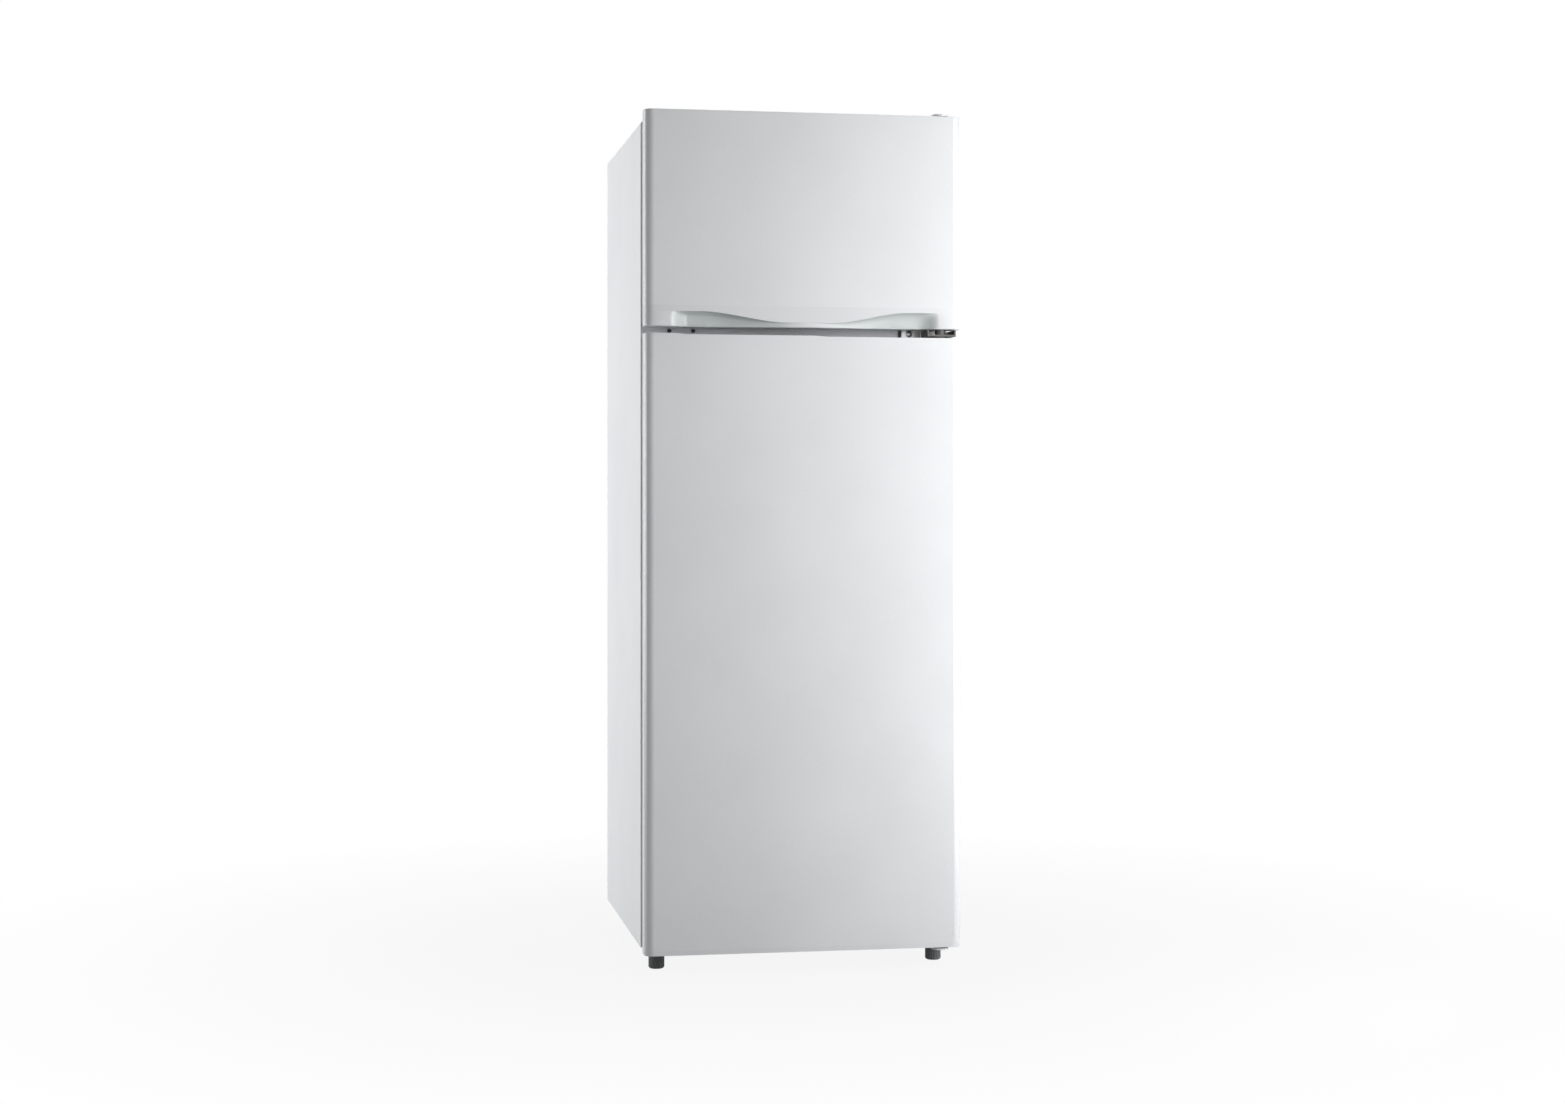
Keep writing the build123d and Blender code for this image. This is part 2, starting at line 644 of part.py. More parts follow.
for level, name in ((lower_level, "lower_shelf"), (upper_level, "upper_shelf")):
    with BuildPart() as shelf_glass:
        glass_sheet(level)
    save(shelf_glass, name + "_glass")
    with BuildPart() as shelf_trim:
        block((-shelf_half, shelf_half), (shelf_front - 8, shelf_front + 6), (level - 9, level + 9))
        fillet(shelf_trim.edges().filter_by(Axis.X), 3)
        block((-shelf_half + 7, shelf_half - 7), (shelf_back - 6, shelf_back + 5), (level - 3, level + 14))
        glass_sheet_cut = [(-shelf_half, shelf_half), (shelf_front, shelf_back), (level, level + 4)]
        block(*glass_sheet_cut, Mode.SUBTRACT)
    save(shelf_trim, name + "_trim")

crisper_top, crisper_wall = 298.0, 2.5
crisper_depth = crisper_top - fridge_floor - 0.4


def drawer_outline(grow, corner):
    with BuildSketch(Plane.XY.offset(crisper_top)) as outline:
        with Locations((0, -20)):
            RectangleRounded(404 + 2 * grow, 168 + 2 * grow, corner)
    return outline.sketch


with BuildPart() as crisper_drawer:
    extrude(drawer_outline(0, 14), amount=-crisper_depth, taper=2)
    extrude(drawer_outline(3, 16), amount=-3)
    extrude(drawer_outline(-crisper_wall, 12), amount=crisper_wall - crisper_depth, taper=2,
            mode=Mode.SUBTRACT)
save(crisper_drawer, "crisper_drawer")

bar, wire = 3.0, 1.8
wires = 17
with BuildPart() as freezer_shelf:
    bar_z = freezer_level + bar
    wire_z = bar_z + 1.6
    for y in (shelf_front, 50, shelf_back - 4):
        lying((-shelf_half, shelf_half), y, bar_z, bar, along_x)
    for i in range(wires):
        x = (shelf_half - 6) * (2 * i / (wires - 1) - 1)
        lying(x, (shelf_front - 1, shelf_back - 3), wire_z, wire, along_y)
save(freezer_shelf, "freezer_shelf")

tray_bottom = wire_z + wire + 0.3
with BuildPart() as ice_tray:
    with BuildSketch(Plane.XY.offset(tray_bottom + 34)):
        with Locations((-142, 40)):
            RectangleRounded(96, 240, 8)
    extrude(amount=-34, taper=4)
    with BuildSketch(Plane.XY.offset(tray_bottom + 34)):
        with Locations((-142, 40)):
            with GridLocations(42, 32, 2, 7):
                RectangleRounded(36, 27, 5)
    extrude(amount=-30, taper=8, mode=Mode.SUBTRACT)
save(ice_tray, "ice_tray")


# Doors
def door_plan(inset, z):
    """Plan of a door: large radii on the front edges, smaller ones on the back edges."""
    with BuildSketch(Plane.XY.offset(z)) as plan:
        with Locations((0, (door_front + door_back) / 2)):
            Rectangle(width - 2 * inset, door_thickness - 2 * inset)
        fillet(plan.vertices().group_by(Axis.Y)[0], front_edge_radius - inset)
        fillet(plan.vertices().group_by(Axis.Y)[-1], back_edge_radius - inset)
    return plan.sketch


def between(low, high, inset):
    """A full slice of a door between two heights."""
    with BuildPart() as slice_of_door:
        extrude(door_plan(inset, low), amount=high - low)
    return slice_of_door.part


def plate(low, high):
    """The flat sheet of a door liner, between the returns of the skin."""
    return (-door_opening, door_opening), (door_back - liner_wall, door_back), (low, high)


def frame(outer, inner, y, mouth, grow):
    """A rectangular ring around the mouth of a compartment."""
    low, high = mouth
    with BuildPart() as ring:
        block((-outer - grow, outer + grow), y, (low - grow, high + grow))
        wall = outer - inner
        block((-inner + grow, inner - grow), y, (low + wall + grow, high - wall - grow), Mode.SUBTRACT)
        if outer == rib_outer:
            fillet(ring.edges().filter_by(Axis.Y), 6)
    return ring.part


def door_skin(low, high):
    with BuildPart() as skin:
        add(between(low, high, 0))
        add(between(low, high, steel), mode=Mode.SUBTRACT)
        block((-door_opening, door_opening), (door_back - 2 * steel, door_back), (low, high), Mode.SUBTRACT)
    return skin


def door_foam(low, high, ribs):
    with BuildPart() as foam:
        add(between(low, high, steel))
        block(*plate(low, high), Mode.SUBTRACT)
        add(frame(rib_outer, rib_inner, (door_back - liner_wall, rib_back - liner_wall), ribs, -liner_wall))
    return foam


def hook(side, z, y):
    """The lug on a door liner's rib that a bin hangs on."""
    edges = sorted((side * (bin_half + 0.6), side * (rib_inner + 1)))
    block(edges, y, z)


hook_y = (door_back + 8, rib_back - 2)


def door_liner(low, high, ribs, hooks):
    with BuildPart() as liner:
        block(*plate(low, high))
        add(frame(rib_outer, rib_inner, (door_back - liner_wall, rib_back), ribs, 0))
        for side in (-1, 1):
            for top in hooks:
                hook(side, (top - 22, top), hook_y)
        add(frame(rib_outer, rib_inner, (door_back - liner_wall, rib_back - liner_wall), ribs, -liner_wall),
            mode=Mode.SUBTRACT)
    return liner


def door_gasket(mouth):
    with BuildPart() as gasket:
        add(frame(ring_outer, ring_inner, (door_back, cabinet_front - 0.3), mouth, 0))
    return gasket


def pin_hole(z, mode=Mode.SUBTRACT):
    upright(hinge_x, hinge_y, z, 7, mode)


def bushing(body, flange):
    """A plastic bush in a door's end: the pin turns in it, the door's weight rests on it."""
    upright(hinge_x, hinge_y, body, 7)
    upright(hinge_x, hinge_y, flange, 9)


def bin_shape(bottom, height, back):
    """An open door bin with a hooked rim at each end."""
    with BuildPart() as door_bin:
        block((-bin_half, bin_half), (door_back + 1.5, back), (bottom, bottom + height))
        fillet(door_bin.edges().filter_by(Axis.Z), 10)
        fillet(door_bin.faces().sort_by(Axis.Z)[0].edges(), 4)
        offset(amount=-2.5, openings=door_bin.faces().sort_by(Axis.Z)[-1])
        rim = bottom + height - 24
        for side in (-1, 1):
            edges = sorted((side * (bin_half - 1), side * (rib_inner - 0.4)))
            block(edges, (hook_y[0] + 3, hook_y[1]), (rim, rim + 4))
    return door_bin


lip, plug = 4.0, 22.0
bottom_lip, handle_height = 8.0, 35.0
fridge_ribs = (fridge_floor + 8, fridge_ceiling - 8)
freezer_ribs = (freezer_floor + 8, freezer_ceiling - 8)
fridge_seal = (fridge_floor - 16, fridge_ceiling + 16)
freezer_seal = (freezer_floor - 16, freezer_ceiling + 16)
bins = [("bottle_bin", 116, 118), ("middle_door_bin", 470, 92), ("upper_door_bin", 790, 92)]
fridge_inside = (door_bottom + plug, fridge_door_top - plug)
freezer_inside = (freezer_ribs[0], door_top - plug)

fridge_door_skin = door_skin(door_bottom + bottom_lip, fridge_door_top - lip)
save(fridge_door_skin, "fridge_door_skin")
fridge_door_foam = door_foam(*fridge_inside, fridge_ribs)
save(fridge_door_foam, "fridge_door_foam")
fridge_door_liner = door_liner(*fridge_inside, fridge_ribs, [z + h - 24.3 for _, z, h in bins])
save(fridge_door_liner, "fridge_door_liner")
fridge_door_gasket = door_gasket(fridge_seal)
save(fridge_door_gasket, "fridge_door_gasket")

# The top cap carries a finger channel, and its top steps down twice from left to right
lip_middle, lip_right = fridge_door_top - 1.8, fridge_door_top - 3.3
with BuildPart() as fridge_door_end_caps:
    add(between(fridge_door_top - lip, fridge_door_top, 0))
    add(between(fridge_inside[1], fridge_door_top - lip, steel))
    block((-200, 20), (door_front + 9, door_back - 10), (lip_middle - 15, fridge_door_top), Mode.SUBTRACT)
    with BuildSketch(Plane.XZ.offset(-door_front)):
        with BuildLine():
            Polyline((-213, fridge_door_top), (-205, lip_middle), (22, lip_middle), (38, lip_right),
                     (half, lip_right), (half, fridge_door_top), close=True)
        make_face()
    extrude(amount=-door_thickness, mode=Mode.SUBTRACT)
    pin_hole((fridge_door_top - 21, fridge_door_top))
    add(between(door_bottom, door_bottom + bottom_lip, 0))
    add(between(door_bottom + bottom_lip, fridge_inside[0], steel))
    pin_hole((door_bottom, door_bottom + 20))
save(fridge_door_end_caps, "fridge_door_end_caps")

with BuildPart() as fridge_door_bushings:
    bushing((fridge_door_top - 21, lip_right), (lip_right, leaf_bottom - 0.5))
    bushing((door_bottom, door_bottom + 20), (32.8, door_bottom))
    upright(hinge_x, hinge_y, (0, door_top), pin_radius + running_gap, Mode.SUBTRACT)
save(fridge_door_bushings, "fridge_door_bushings")

for name, bottom, height in bins:
    save(bin_shape(bottom, height, -150), name)

freezer_door_skin = door_skin(freezer_door_bottom + handle_height, door_top - lip)
save(freezer_door_skin, "freezer_door_skin")
freezer_door_foam = door_foam(*freezer_inside, freezer_ribs)
save(freezer_door_foam, "freezer_door_foam")
freezer_bin_bottom, freezer_bin_height = 1200, 80
freezer_door_liner = door_liner(*freezer_inside, freezer_ribs,
                                [freezer_bin_bottom + freezer_bin_height - 24.3])
save(freezer_door_liner, "freezer_door_liner")
freezer_door_gasket = door_gasket(freezer_seal)
save(freezer_door_gasket, "freezer_door_gasket")
save(bin_shape(freezer_bin_bottom, freezer_bin_height, -170), "freezer_door_bin")

with BuildPart() as freezer_door_top_cap:
    add(between(door_top - lip, door_top, 0))
    add(between(freezer_inside[1], door_top - lip, steel))
    pin_hole((door_top - 20, door_top))
save(freezer_door_top_cap, "freezer_door_top_cap")

# Handle: the freezer door's bottom end, scooped out under a wave-shaped edge
wave_left, wave_low, wave_right = (freezer_door_bottom + rise for rise in (25.3, 8.0, 26.8))
scoop_left, scoop_right = -228.0, 235.0
with BuildPart() as scoop:
    below = freezer_door_bottom - 5
    with BuildSketch(Plane.XZ.offset(-door_front)):
        with BuildLine():
            Line((scoop_left, below), (scoop_left, wave_left))
            Line((scoop_left, wave_left), (-178, wave_left))
            Spline((-178, wave_left), (-94, freezer_door_bottom + 15), (10, wave_low),
                   (110, freezer_door_bottom + 17), (185, wave_right), tangents=((1, 0), (1, 0)))
            Line((185, wave_right), (scoop_right, wave_right))
            Line((scoop_right, wave_right), (scoop_right, below))
            Line((scoop_right, below), (scoop_left, below))
        make_face()
    extrude(amount=-30)
    with BuildSketch(Plane.XY.offset(freezer_door_bottom - 10)):
        with BuildLine():
            deep, shallow, crest = (door_front + depth for depth in (20, 15, 1.5))
            Line((scoop_left, door_front - 1), (-196, deep))
            Line((-196, deep), (-150, deep))
            Spline((-150, deep), (10, crest), (150, shallow), (184, shallow), tangents=((1, 0), (1, 0)))
            Spline((184, shallow), (209, door_front + 7.5), (scoop_right, door_front - 1),
                   tangents=((1, 0), (1, -0.12)))
            Line((scoop_right, door_front - 1), (scoop_left, door_front - 1))
        make_face()
    extrude(amount=50, mode=Mode.INTERSECT)

with BuildPart() as freezer_door_handle:
    handle_top = freezer_door_bottom + handle_height
    add(between(freezer_door_bottom, handle_top, 0))
    chamfer(freezer_door_handle.faces().sort_by(Axis.Z)[0].edges(), 1.2)
    add(between(handle_top, freezer_inside[0], steel))
    add(scoop.part, mode=Mode.SUBTRACT)
    pin_hole((freezer_door_bottom, freezer_door_bottom + 16))
save(freezer_door_handle, "freezer_door_handle")

with BuildPart() as freezer_door_bushings:
    bushing((freezer_door_bottom, freezer_door_bottom + 16), (leaf_top + 0.3, freezer_door_bottom))
    bushing((door_top - 20, door_top), (door_top, door_top + 1.2))
    upright(hinge_x, hinge_y, (leaf_top, door_top + 2), pin_radius + running_gap, Mode.SUBTRACT)
save(freezer_door_bushings, "freezer_door_bushings")
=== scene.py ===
import math
import bpy
import bmesh
from mathutils import Matrix, Vector


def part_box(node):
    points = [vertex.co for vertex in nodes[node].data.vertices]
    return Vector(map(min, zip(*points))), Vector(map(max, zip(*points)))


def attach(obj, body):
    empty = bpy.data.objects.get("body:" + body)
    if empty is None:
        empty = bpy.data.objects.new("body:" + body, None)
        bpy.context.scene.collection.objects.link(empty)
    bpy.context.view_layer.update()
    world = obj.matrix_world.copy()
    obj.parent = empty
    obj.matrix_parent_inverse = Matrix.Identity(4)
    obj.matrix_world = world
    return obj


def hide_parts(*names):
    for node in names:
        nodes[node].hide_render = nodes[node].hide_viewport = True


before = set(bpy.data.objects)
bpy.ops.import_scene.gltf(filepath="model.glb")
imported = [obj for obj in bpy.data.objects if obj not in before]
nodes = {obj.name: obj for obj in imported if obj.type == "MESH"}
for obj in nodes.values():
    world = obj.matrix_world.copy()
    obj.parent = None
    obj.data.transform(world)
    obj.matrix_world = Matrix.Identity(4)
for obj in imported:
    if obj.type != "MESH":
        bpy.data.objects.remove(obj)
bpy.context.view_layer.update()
print("frame loaded:", len(nodes), "nodes")


# camera: low, in front and a little to the left
camera = {"place": (-0.776, -4.435, 0.787), "turn": -10.11, "lens": 57.8, "sensor": 36.0, "rise": -0.0316}

camData = bpy.data.cameras.new("camera")
camData.lens = camera["lens"]
camData.sensor_width = camera["sensor"]
camData.shift_y = camera["rise"]
camObject = bpy.data.objects.new("camera", camData)
camObject.location = camera["place"]
camObject.rotation_euler = (math.radians(90), 0, math.radians(camera["turn"]))
bpy.context.collection.objects.link(camObject)
bpy.context.scene.camera = camObject
bpy.context.scene.view_settings.view_transform = "Standard"
print("camera set")


def hexColor(text):  # from screen values to linear ones
    parts = [int(text[i:i + 2], 16) / 255 for i in (0, 2, 4)]
    linear = [c / 12.92 if c < 0.04045 else ((c + 0.055) / 1.055) ** 2.4 for c in parts]
    return (*linear, 1.0)


def startFinish(name):
    mat = bpy.data.materials.new(name)
    mat.use_nodes = True
    tree = mat.node_tree
    shader = tree.nodes["Principled BSDF"]
    place = tree.nodes.new("ShaderNodeTexCoord").outputs["Object"]
    return mat, tree, shader, place


def grain(tree, place, scale, detail=2.0, stretch=None):
    if stretch:
        mapping = tree.nodes.new("ShaderNodeMapping")
        mapping.inputs["Scale"].default_value = stretch
        tree.links.new(place, mapping.inputs["Vector"])
        place = mapping.outputs["Vector"]
    noise = tree.nodes.new("ShaderNodeTexNoise")
    noise.inputs["Scale"].default_value = scale
    noise.inputs["Detail"].default_value = detail
    tree.links.new(place, noise.inputs["Vector"])
    return noise.outputs["Fac"]


def spread(tree, value, low, high, fromLow=0.3, fromHigh=0.7):
    span = tree.nodes.new("ShaderNodeMapRange")
    span.inputs["From Min"].default_value = fromLow
    span.inputs["From Max"].default_value = fromHigh
    span.inputs["To Min"].default_value = low
    span.inputs["To Max"].default_value = high
    tree.links.new(value, span.inputs["Value"])
    return span.outputs["Result"]


def tint(tree, value, colorA, colorB, fromLow=0.3, fromHigh=0.7):
    ramp = tree.nodes.new("ShaderNodeValToRGB")
    ramp.color_ramp.elements[0].position = fromLow
    ramp.color_ramp.elements[0].color = hexColor(colorA)
    ramp.color_ramp.elements[1].position = fromHigh
    ramp.color_ramp.elements[1].color = hexColor(colorB)
    tree.links.new(value, ramp.inputs["Fac"])
    return ramp.outputs["Color"]


def relief(tree, shader, height, strength, depth):
    bump = tree.nodes.new("ShaderNodeBump")
    bump.inputs["Strength"].default_value = strength
    bump.inputs["Distance"].default_value = depth
    tree.links.new(height, bump.inputs["Height"])
    tree.links.new(bump.outputs["Normal"], shader.inputs["Normal"])


def finish(name, colors, rough, grainScale, depth, strength=0.3, patch=6.0, stretch=None, **sockets):
    mat, tree, shader, place = startFinish(name)
    patches = grain(tree, place, patch, detail=4.0, stretch=stretch)
    base = tint(tree, patches, *colors)
    tree.links.new(base, shader.inputs["Base Color"])
    fine = grain(tree, place, grainScale, stretch=stretch)
    tree.links.new(spread(tree, fine, *rough), shader.inputs["Roughness"])
    relief(tree, shader, fine, strength, depth)
    for socket, value in sockets.items():
        shader.inputs[socket.replace("_", " ")].default_value = value
    return mat


# each finish: two colours, the range of its roughness, its grain's scale, its grain's depth in metres
doorSilver = finish("doorSilver", ("D5D7D9", "DADCDE"), (0.26, 0.34), 420, 0.00005)
trimSilver = finish("trimSilver", ("D2D4D6", "D7D9DB"), (0.36, 0.44), 900, 0.00004)
cabinetWhite = finish("cabinetWhite", ("E4E7EA", "E9ECEE"), (0.38, 0.5), 700, 0.00012, strength=0.5)
mullionGrey = finish("mullionGrey", ("E0E3E5", "E6E8EA"), (0.4, 0.5), 700, 0.0001)
brightScrew = finish("brightScrew", ("C4C6C8", "DADBDC"), (0.2, 0.32), 900, 0.00003,
                     patch=80.0, Metallic=1.0)
brassCap = finish("brassCap", ("A88B45", "BFA35A"), (0.3, 0.45), 700, 0.00003,
                  patch=60.0, Metallic=0.95)
blackPaint = finish("blackPaint", ("17181A", "222325"), (0.35, 0.5), 600, 0.0001)
rolledAluminium = finish("rolledAluminium", ("BFC2C4", "CDCFD1"), (0.3, 0.42), 300, 0.00004,
                         stretch=(1.0, 0.05, 1.0), Metallic=0.9)
copperTube = finish("copperTube", ("9A5433", "C27A50"), (0.25, 0.42), 400, 0.00004,
                    patch=40.0, Metallic=0.95)
foamYellow = finish("foamYellow", ("DDC88C", "EAD9A6"), (0.85, 0.95), 260, 0.0006,
                    strength=0.8, patch=40.0)
linerWhite = finish("linerWhite", ("EEF0F1", "F4F5F6"), (0.25, 0.35), 300, 0.00008)
whitePlastic = finish("whitePlastic", ("ECEDEE", "F2F3F3"), (0.3, 0.4), 800, 0.00005)
nylonBush = finish("nylonBush", ("3A3B3C", "484949"), (0.4, 0.5), 900, 0.00005)
greyPlastic = finish("greyPlastic", ("9B9EA1", "A8ABAE"), (0.42, 0.55), 900, 0.00008)
darkPlastic = finish("darkPlastic", ("1D1E20", "2B2C2E"), (0.42, 0.58), 900, 0.0001)
footBlack = finish("footBlack", ("545557", "606163"), (0.5, 0.62), 700, 0.0001)
trayBlue = finish("trayBlue", ("AFCBE0", "BCD6E8"), (0.35, 0.45), 700, 0.00005, Subsurface_Weight=0.2)
coatedWire = finish("coatedWire", ("EDEEEF", "F4F5F5"), (0.3, 0.4), 900, 0.00005)
blackRubber = finish("blackRubber", ("141415", "1F1F20"), (0.7, 0.85), 600, 0.0001)
sealGrey = finish("sealGrey", ("C2C5C8", "CDD0D2"), (0.55, 0.7), 900, 0.00008)


zincLook = {"scale": 95, "colors": ("B4B7B9", "C4C7C8"), "rough": (0.34, 0.5), "metallic": 0.8,
            "grain": 260, "strength": 0.3, "depth": 0.00005}


def zincFinish():  # spangle: flat crystals a centimetre or so across, each a slightly different grey
    mat, tree, shader, place = startFinish("zincSteel")
    spangle = tree.nodes.new("ShaderNodeTexVoronoi")
    spangle.inputs["Scale"].default_value = zincLook["scale"]
    tree.links.new(place, spangle.inputs["Vector"])
    shade = tree.nodes.new("ShaderNodeSeparateColor")
    tree.links.new(spangle.outputs["Color"], shade.inputs["Color"])
    base = tint(tree, shade.outputs["Red"], *zincLook["colors"], 0.0, 1.0)
    tree.links.new(base, shader.inputs["Base Color"])
    rough = spread(tree, shade.outputs["Green"], *zincLook["rough"], 0.0, 1.0)
    tree.links.new(rough, shader.inputs["Roughness"])
    shader.inputs["Metallic"].default_value = zincLook["metallic"]
    relief(tree, shader, grain(tree, place, zincLook["grain"]), zincLook["strength"], zincLook["depth"])
    return mat


# the hollow's two colours are painted shade: the shallow colour at the face, a greener and darker one where
# the hollow is deep
handleLook = {"shallow": "D3D5D7", "deep": "BDC3C2", "from": 0.05, "to": 0.95, "rough": (0.36, 0.46),
              "grain": 900, "strength": 0.3, "depth": 0.00004}


def handleFinish():  # painted shade: the colour goes greener and darker where the hollow is deep
    mat, tree, shader, place = startFinish("handleSilver")
    hollow = tree.nodes.new("ShaderNodeAttribute")
    hollow.attribute_name = "hollow"
    base = tint(tree, hollow.outputs["Fac"], handleLook["shallow"], handleLook["deep"],
                handleLook["from"], handleLook["to"])
    tree.links.new(base, shader.inputs["Base Color"])
    fine = grain(tree, place, handleLook["grain"])
    tree.links.new(spread(tree, fine, *handleLook["rough"]), shader.inputs["Roughness"])
    relief(tree, shader, fine, handleLook["strength"], handleLook["depth"])
    return mat


# the leaf's dark grey is painted shade: the same steel as the plate, painted darker where it sits in the gap
hingeLook = {"plateFrom": (-0.2462, -0.2452), "plate": ("E6E7E8", "F0F0F0"), "leafPaintedShade": ("474543", "5A5855"),
             "metallic": (0.3, 0.5), "rough": (0.5, 0.24), "grain": 300, "strength": 0.1, "depth": 0.00002}


def hingeFinish():  # the plate is bright where it lies on the mullion; the leaf in front of it is painted dark grey as painted shade of the gap between the doors
    mat, tree, shader, place = startFinish("hingeSteel")
    fine = grain(tree, place, hingeLook["grain"])
    split = tree.nodes.new("ShaderNodeSeparateXYZ")
    tree.links.new(place, split.inputs["Vector"])
    plate = spread(tree, split.outputs["Y"], 0.0, 1.0, *hingeLook["plateFrom"])
    mix = tree.nodes.new("ShaderNodeMix")
    mix.data_type = "RGBA"
    colorA, colorB, mixed = mix.inputs[6], mix.inputs[7], mix.outputs[2]  # the node's colour sockets
    tree.links.new(plate, mix.inputs["Factor"])
    tree.links.new(tint(tree, fine, *hingeLook["plate"]), colorB)
    # painted shade on the leaf in front of the plate
    tree.links.new(tint(tree, fine, *hingeLook["leafPaintedShade"]), colorA)
    tree.links.new(mixed, shader.inputs["Base Color"])
    tree.links.new(spread(tree, plate, *hingeLook["metallic"], 0.0, 1.0), shader.inputs["Metallic"])
    tree.links.new(spread(tree, plate, *hingeLook["rough"], 0.0, 1.0), shader.inputs["Roughness"])
    relief(tree, shader, fine, hingeLook["strength"], hingeLook["depth"])
    return mat


clearLook = {"index": 1.45, "roughSpan": 1.8, "grain": 200, "strength": 0.1, "depth": 0.00003}


def clearFinish(name, color, rough, weight):
    mat, tree, shader, place = startFinish(name)
    shader.inputs["Base Color"].default_value = hexColor(color)
    shader.inputs["Transmission Weight"].default_value = weight
    shader.inputs["IOR"].default_value = clearLook["index"]
    fine = grain(tree, place, clearLook["grain"])
    tree.links.new(spread(tree, fine, rough, rough * clearLook["roughSpan"]), shader.inputs["Roughness"])
    relief(tree, shader, fine, clearLook["strength"], clearLook["depth"])
    return mat


hingeSteel = hingeFinish()
zincSteel = zincFinish()
handleSilver = handleFinish()
# each clear finish: its colour, roughness and how much light goes through
clearBin = clearFinish("clearBin", "F6F9FA", 0.1, 0.8)
shelfGlass = clearFinish("shelfGlass", "EDF6F3", 0.03, 0.95)
frostedCover = clearFinish("frostedCover", "F2F4F4", 0.3, 0.8)
bulbGlass = clearFinish("bulbGlass", "F7F4EA", 0.25, 0.6)
print("finishes made")

nodeFinish = {
    doorSilver: ["fridge_door_skin", "freezer_door_skin"],
    trimSilver: ["fridge_door_end_caps", "freezer_door_top_cap", "freezer_door_handle"],
    cabinetWhite: ["cabinet_shell", "bottom_brackets", "top_hinge"],
    mullionGrey: ["mullion_panel", "base_panel"],
    hingeSteel: ["middle_hinge"],
    zincSteel: ["back_panel", "compressor_rail"],
    brightScrew: ["hinge_screws"],
    blackPaint: ["compressor", "condenser_tube", "condenser_wires"],
    rolledAluminium: ["evaporator_plates"],
    copperTube: ["refrigerant_tubes"],
    foamYellow: ["cabinet_foam", "fridge_door_foam", "freezer_door_foam"],
    linerWhite: ["fridge_liner", "freezer_liner", "fridge_door_liner", "freezer_door_liner"],
    whitePlastic: ["top_hinge_cover", "control_housing", "thermostat_knob", "light_switch_plunger",
                   "upper_shelf_trim", "lower_shelf_trim"],
    greyPlastic: ["drain_tube", "evaporation_tray", "thermostat"],
    darkPlastic: ["hinge_hole_plugs", "relay_cover", "cord_gland", "condenser_spacers", "rear_roller_left",
                  "rear_roller_right"],
    nylonBush: ["fridge_door_bushings", "freezer_door_bushings"],
    footBlack: ["front_foot_left", "front_foot_right"],
    trayBlue: ["ice_tray"],
    coatedWire: ["freezer_shelf"],
    blackRubber: ["compressor_grommets"],
    sealGrey: ["fridge_door_gasket", "freezer_door_gasket"],
    clearBin: ["crisper_drawer", "upper_door_bin", "middle_door_bin", "bottle_bin", "freezer_door_bin"],
    shelfGlass: ["crisper_cover", "upper_shelf_glass", "lower_shelf_glass"],
    frostedCover: ["lamp_cover"],
    bulbGlass: ["lamp_bulb"],
}
for mat, names in nodeFinish.items():
    for name in names:
        mesh = nodes[name].data
        mesh.materials.clear()
        mesh.materials.append(mat)
print("finishes on the frame's nodes")


near = 1e-5  # how close counts as the same place, in metres
apart = 0.001  # how far off counts as another place


def makePiece(name, bm, mats, body, replaced, sharpAngle=30):
    bmesh.ops.recalc_face_normals(bm, faces=bm.faces)
    for face in bm.faces:
        face.smooth = True
    for edge in bm.edges:
        edge.smooth = not edge.is_manifold or edge.calc_face_angle(0.0) < math.radians(sharpAngle)
    mesh = bpy.data.meshes.new(name)
    bm.to_mesh(mesh)
    bm.free()
    for mat in mats:
        mesh.materials.append(mat)
    piece = bpy.data.objects.new(name, mesh)
    bpy.context.collection.objects.link(piece)
    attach(piece, body)
    if replaced:
        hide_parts(*replaced)


def addBox(bm, low, high):
    size = [b - a for a, b in zip(low, high)]
    made = bmesh.ops.create_cube(bm, size=1.0)["verts"]
    bmesh.ops.scale(bm, verts=made, vec=size)
    bmesh.ops.translate(bm, verts=made, vec=[(a + b) / 2 for a, b in zip(low, high)])
    return made


def roundEdges(bm, edges, radius, segments):
    bmesh.ops.bevel(bm, geom=edges, offset=radius, segments=segments, affect="EDGES",
                    profile=0.5, material=-1)


def linkedEdges(verts):  # each once, in a fixed order
    return list(dict.fromkeys(edge for vert in verts for edge in vert.link_edges))


def linkedFaces(verts):
    return list(dict.fromkeys(face for vert in verts for face in vert.link_faces))


def grownParts(grown, kind):
    return [part for part in grown if isinstance(part, kind)]


def cutAlong(bm, axis, places):  # cuts across the axis at each of the places
    normal = [float(i == axis) for i in range(3)]
    for place in places:
        spot = [place if i == axis else 0.0 for i in range(3)]
        bmesh.ops.bisect_plane(bm, geom=bm.verts[:] + bm.edges[:] + bm.faces[:], dist=1e-7,
                               plane_co=spot, plane_no=normal)


def lathe(bm, profile, centre, axis="Z", steps=48):  # profile: radius and height pairs, ends on the axis
    turned = {"Z": Matrix.Identity(3), "Y": Matrix.Rotation(math.radians(-90), 3, "X")}[axis]
    made = []
    for radius, height in profile:
        made.append(bm.verts.new(turned @ Vector((radius, 0.0, height)) + Vector(centre)))
    edges = [bm.edges.new(pair) for pair in zip(made, made[1:])]
    bmesh.ops.spin(bm, geom=made + edges, cent=centre, axis=turned @ Vector((0, 0, 1)),
                   angle=math.tau, steps=steps, use_merge=True, use_duplicate=False)
    bmesh.ops.remove_doubles(bm, verts=bm.verts, dist=1e-6)


def ease(value, low, high):  # 0 at low, 1 at high, level at both ends
    t = min(max((value - low) / (high - low), 0.0), 1.0)
    return t * t * (3 - 2 * t)


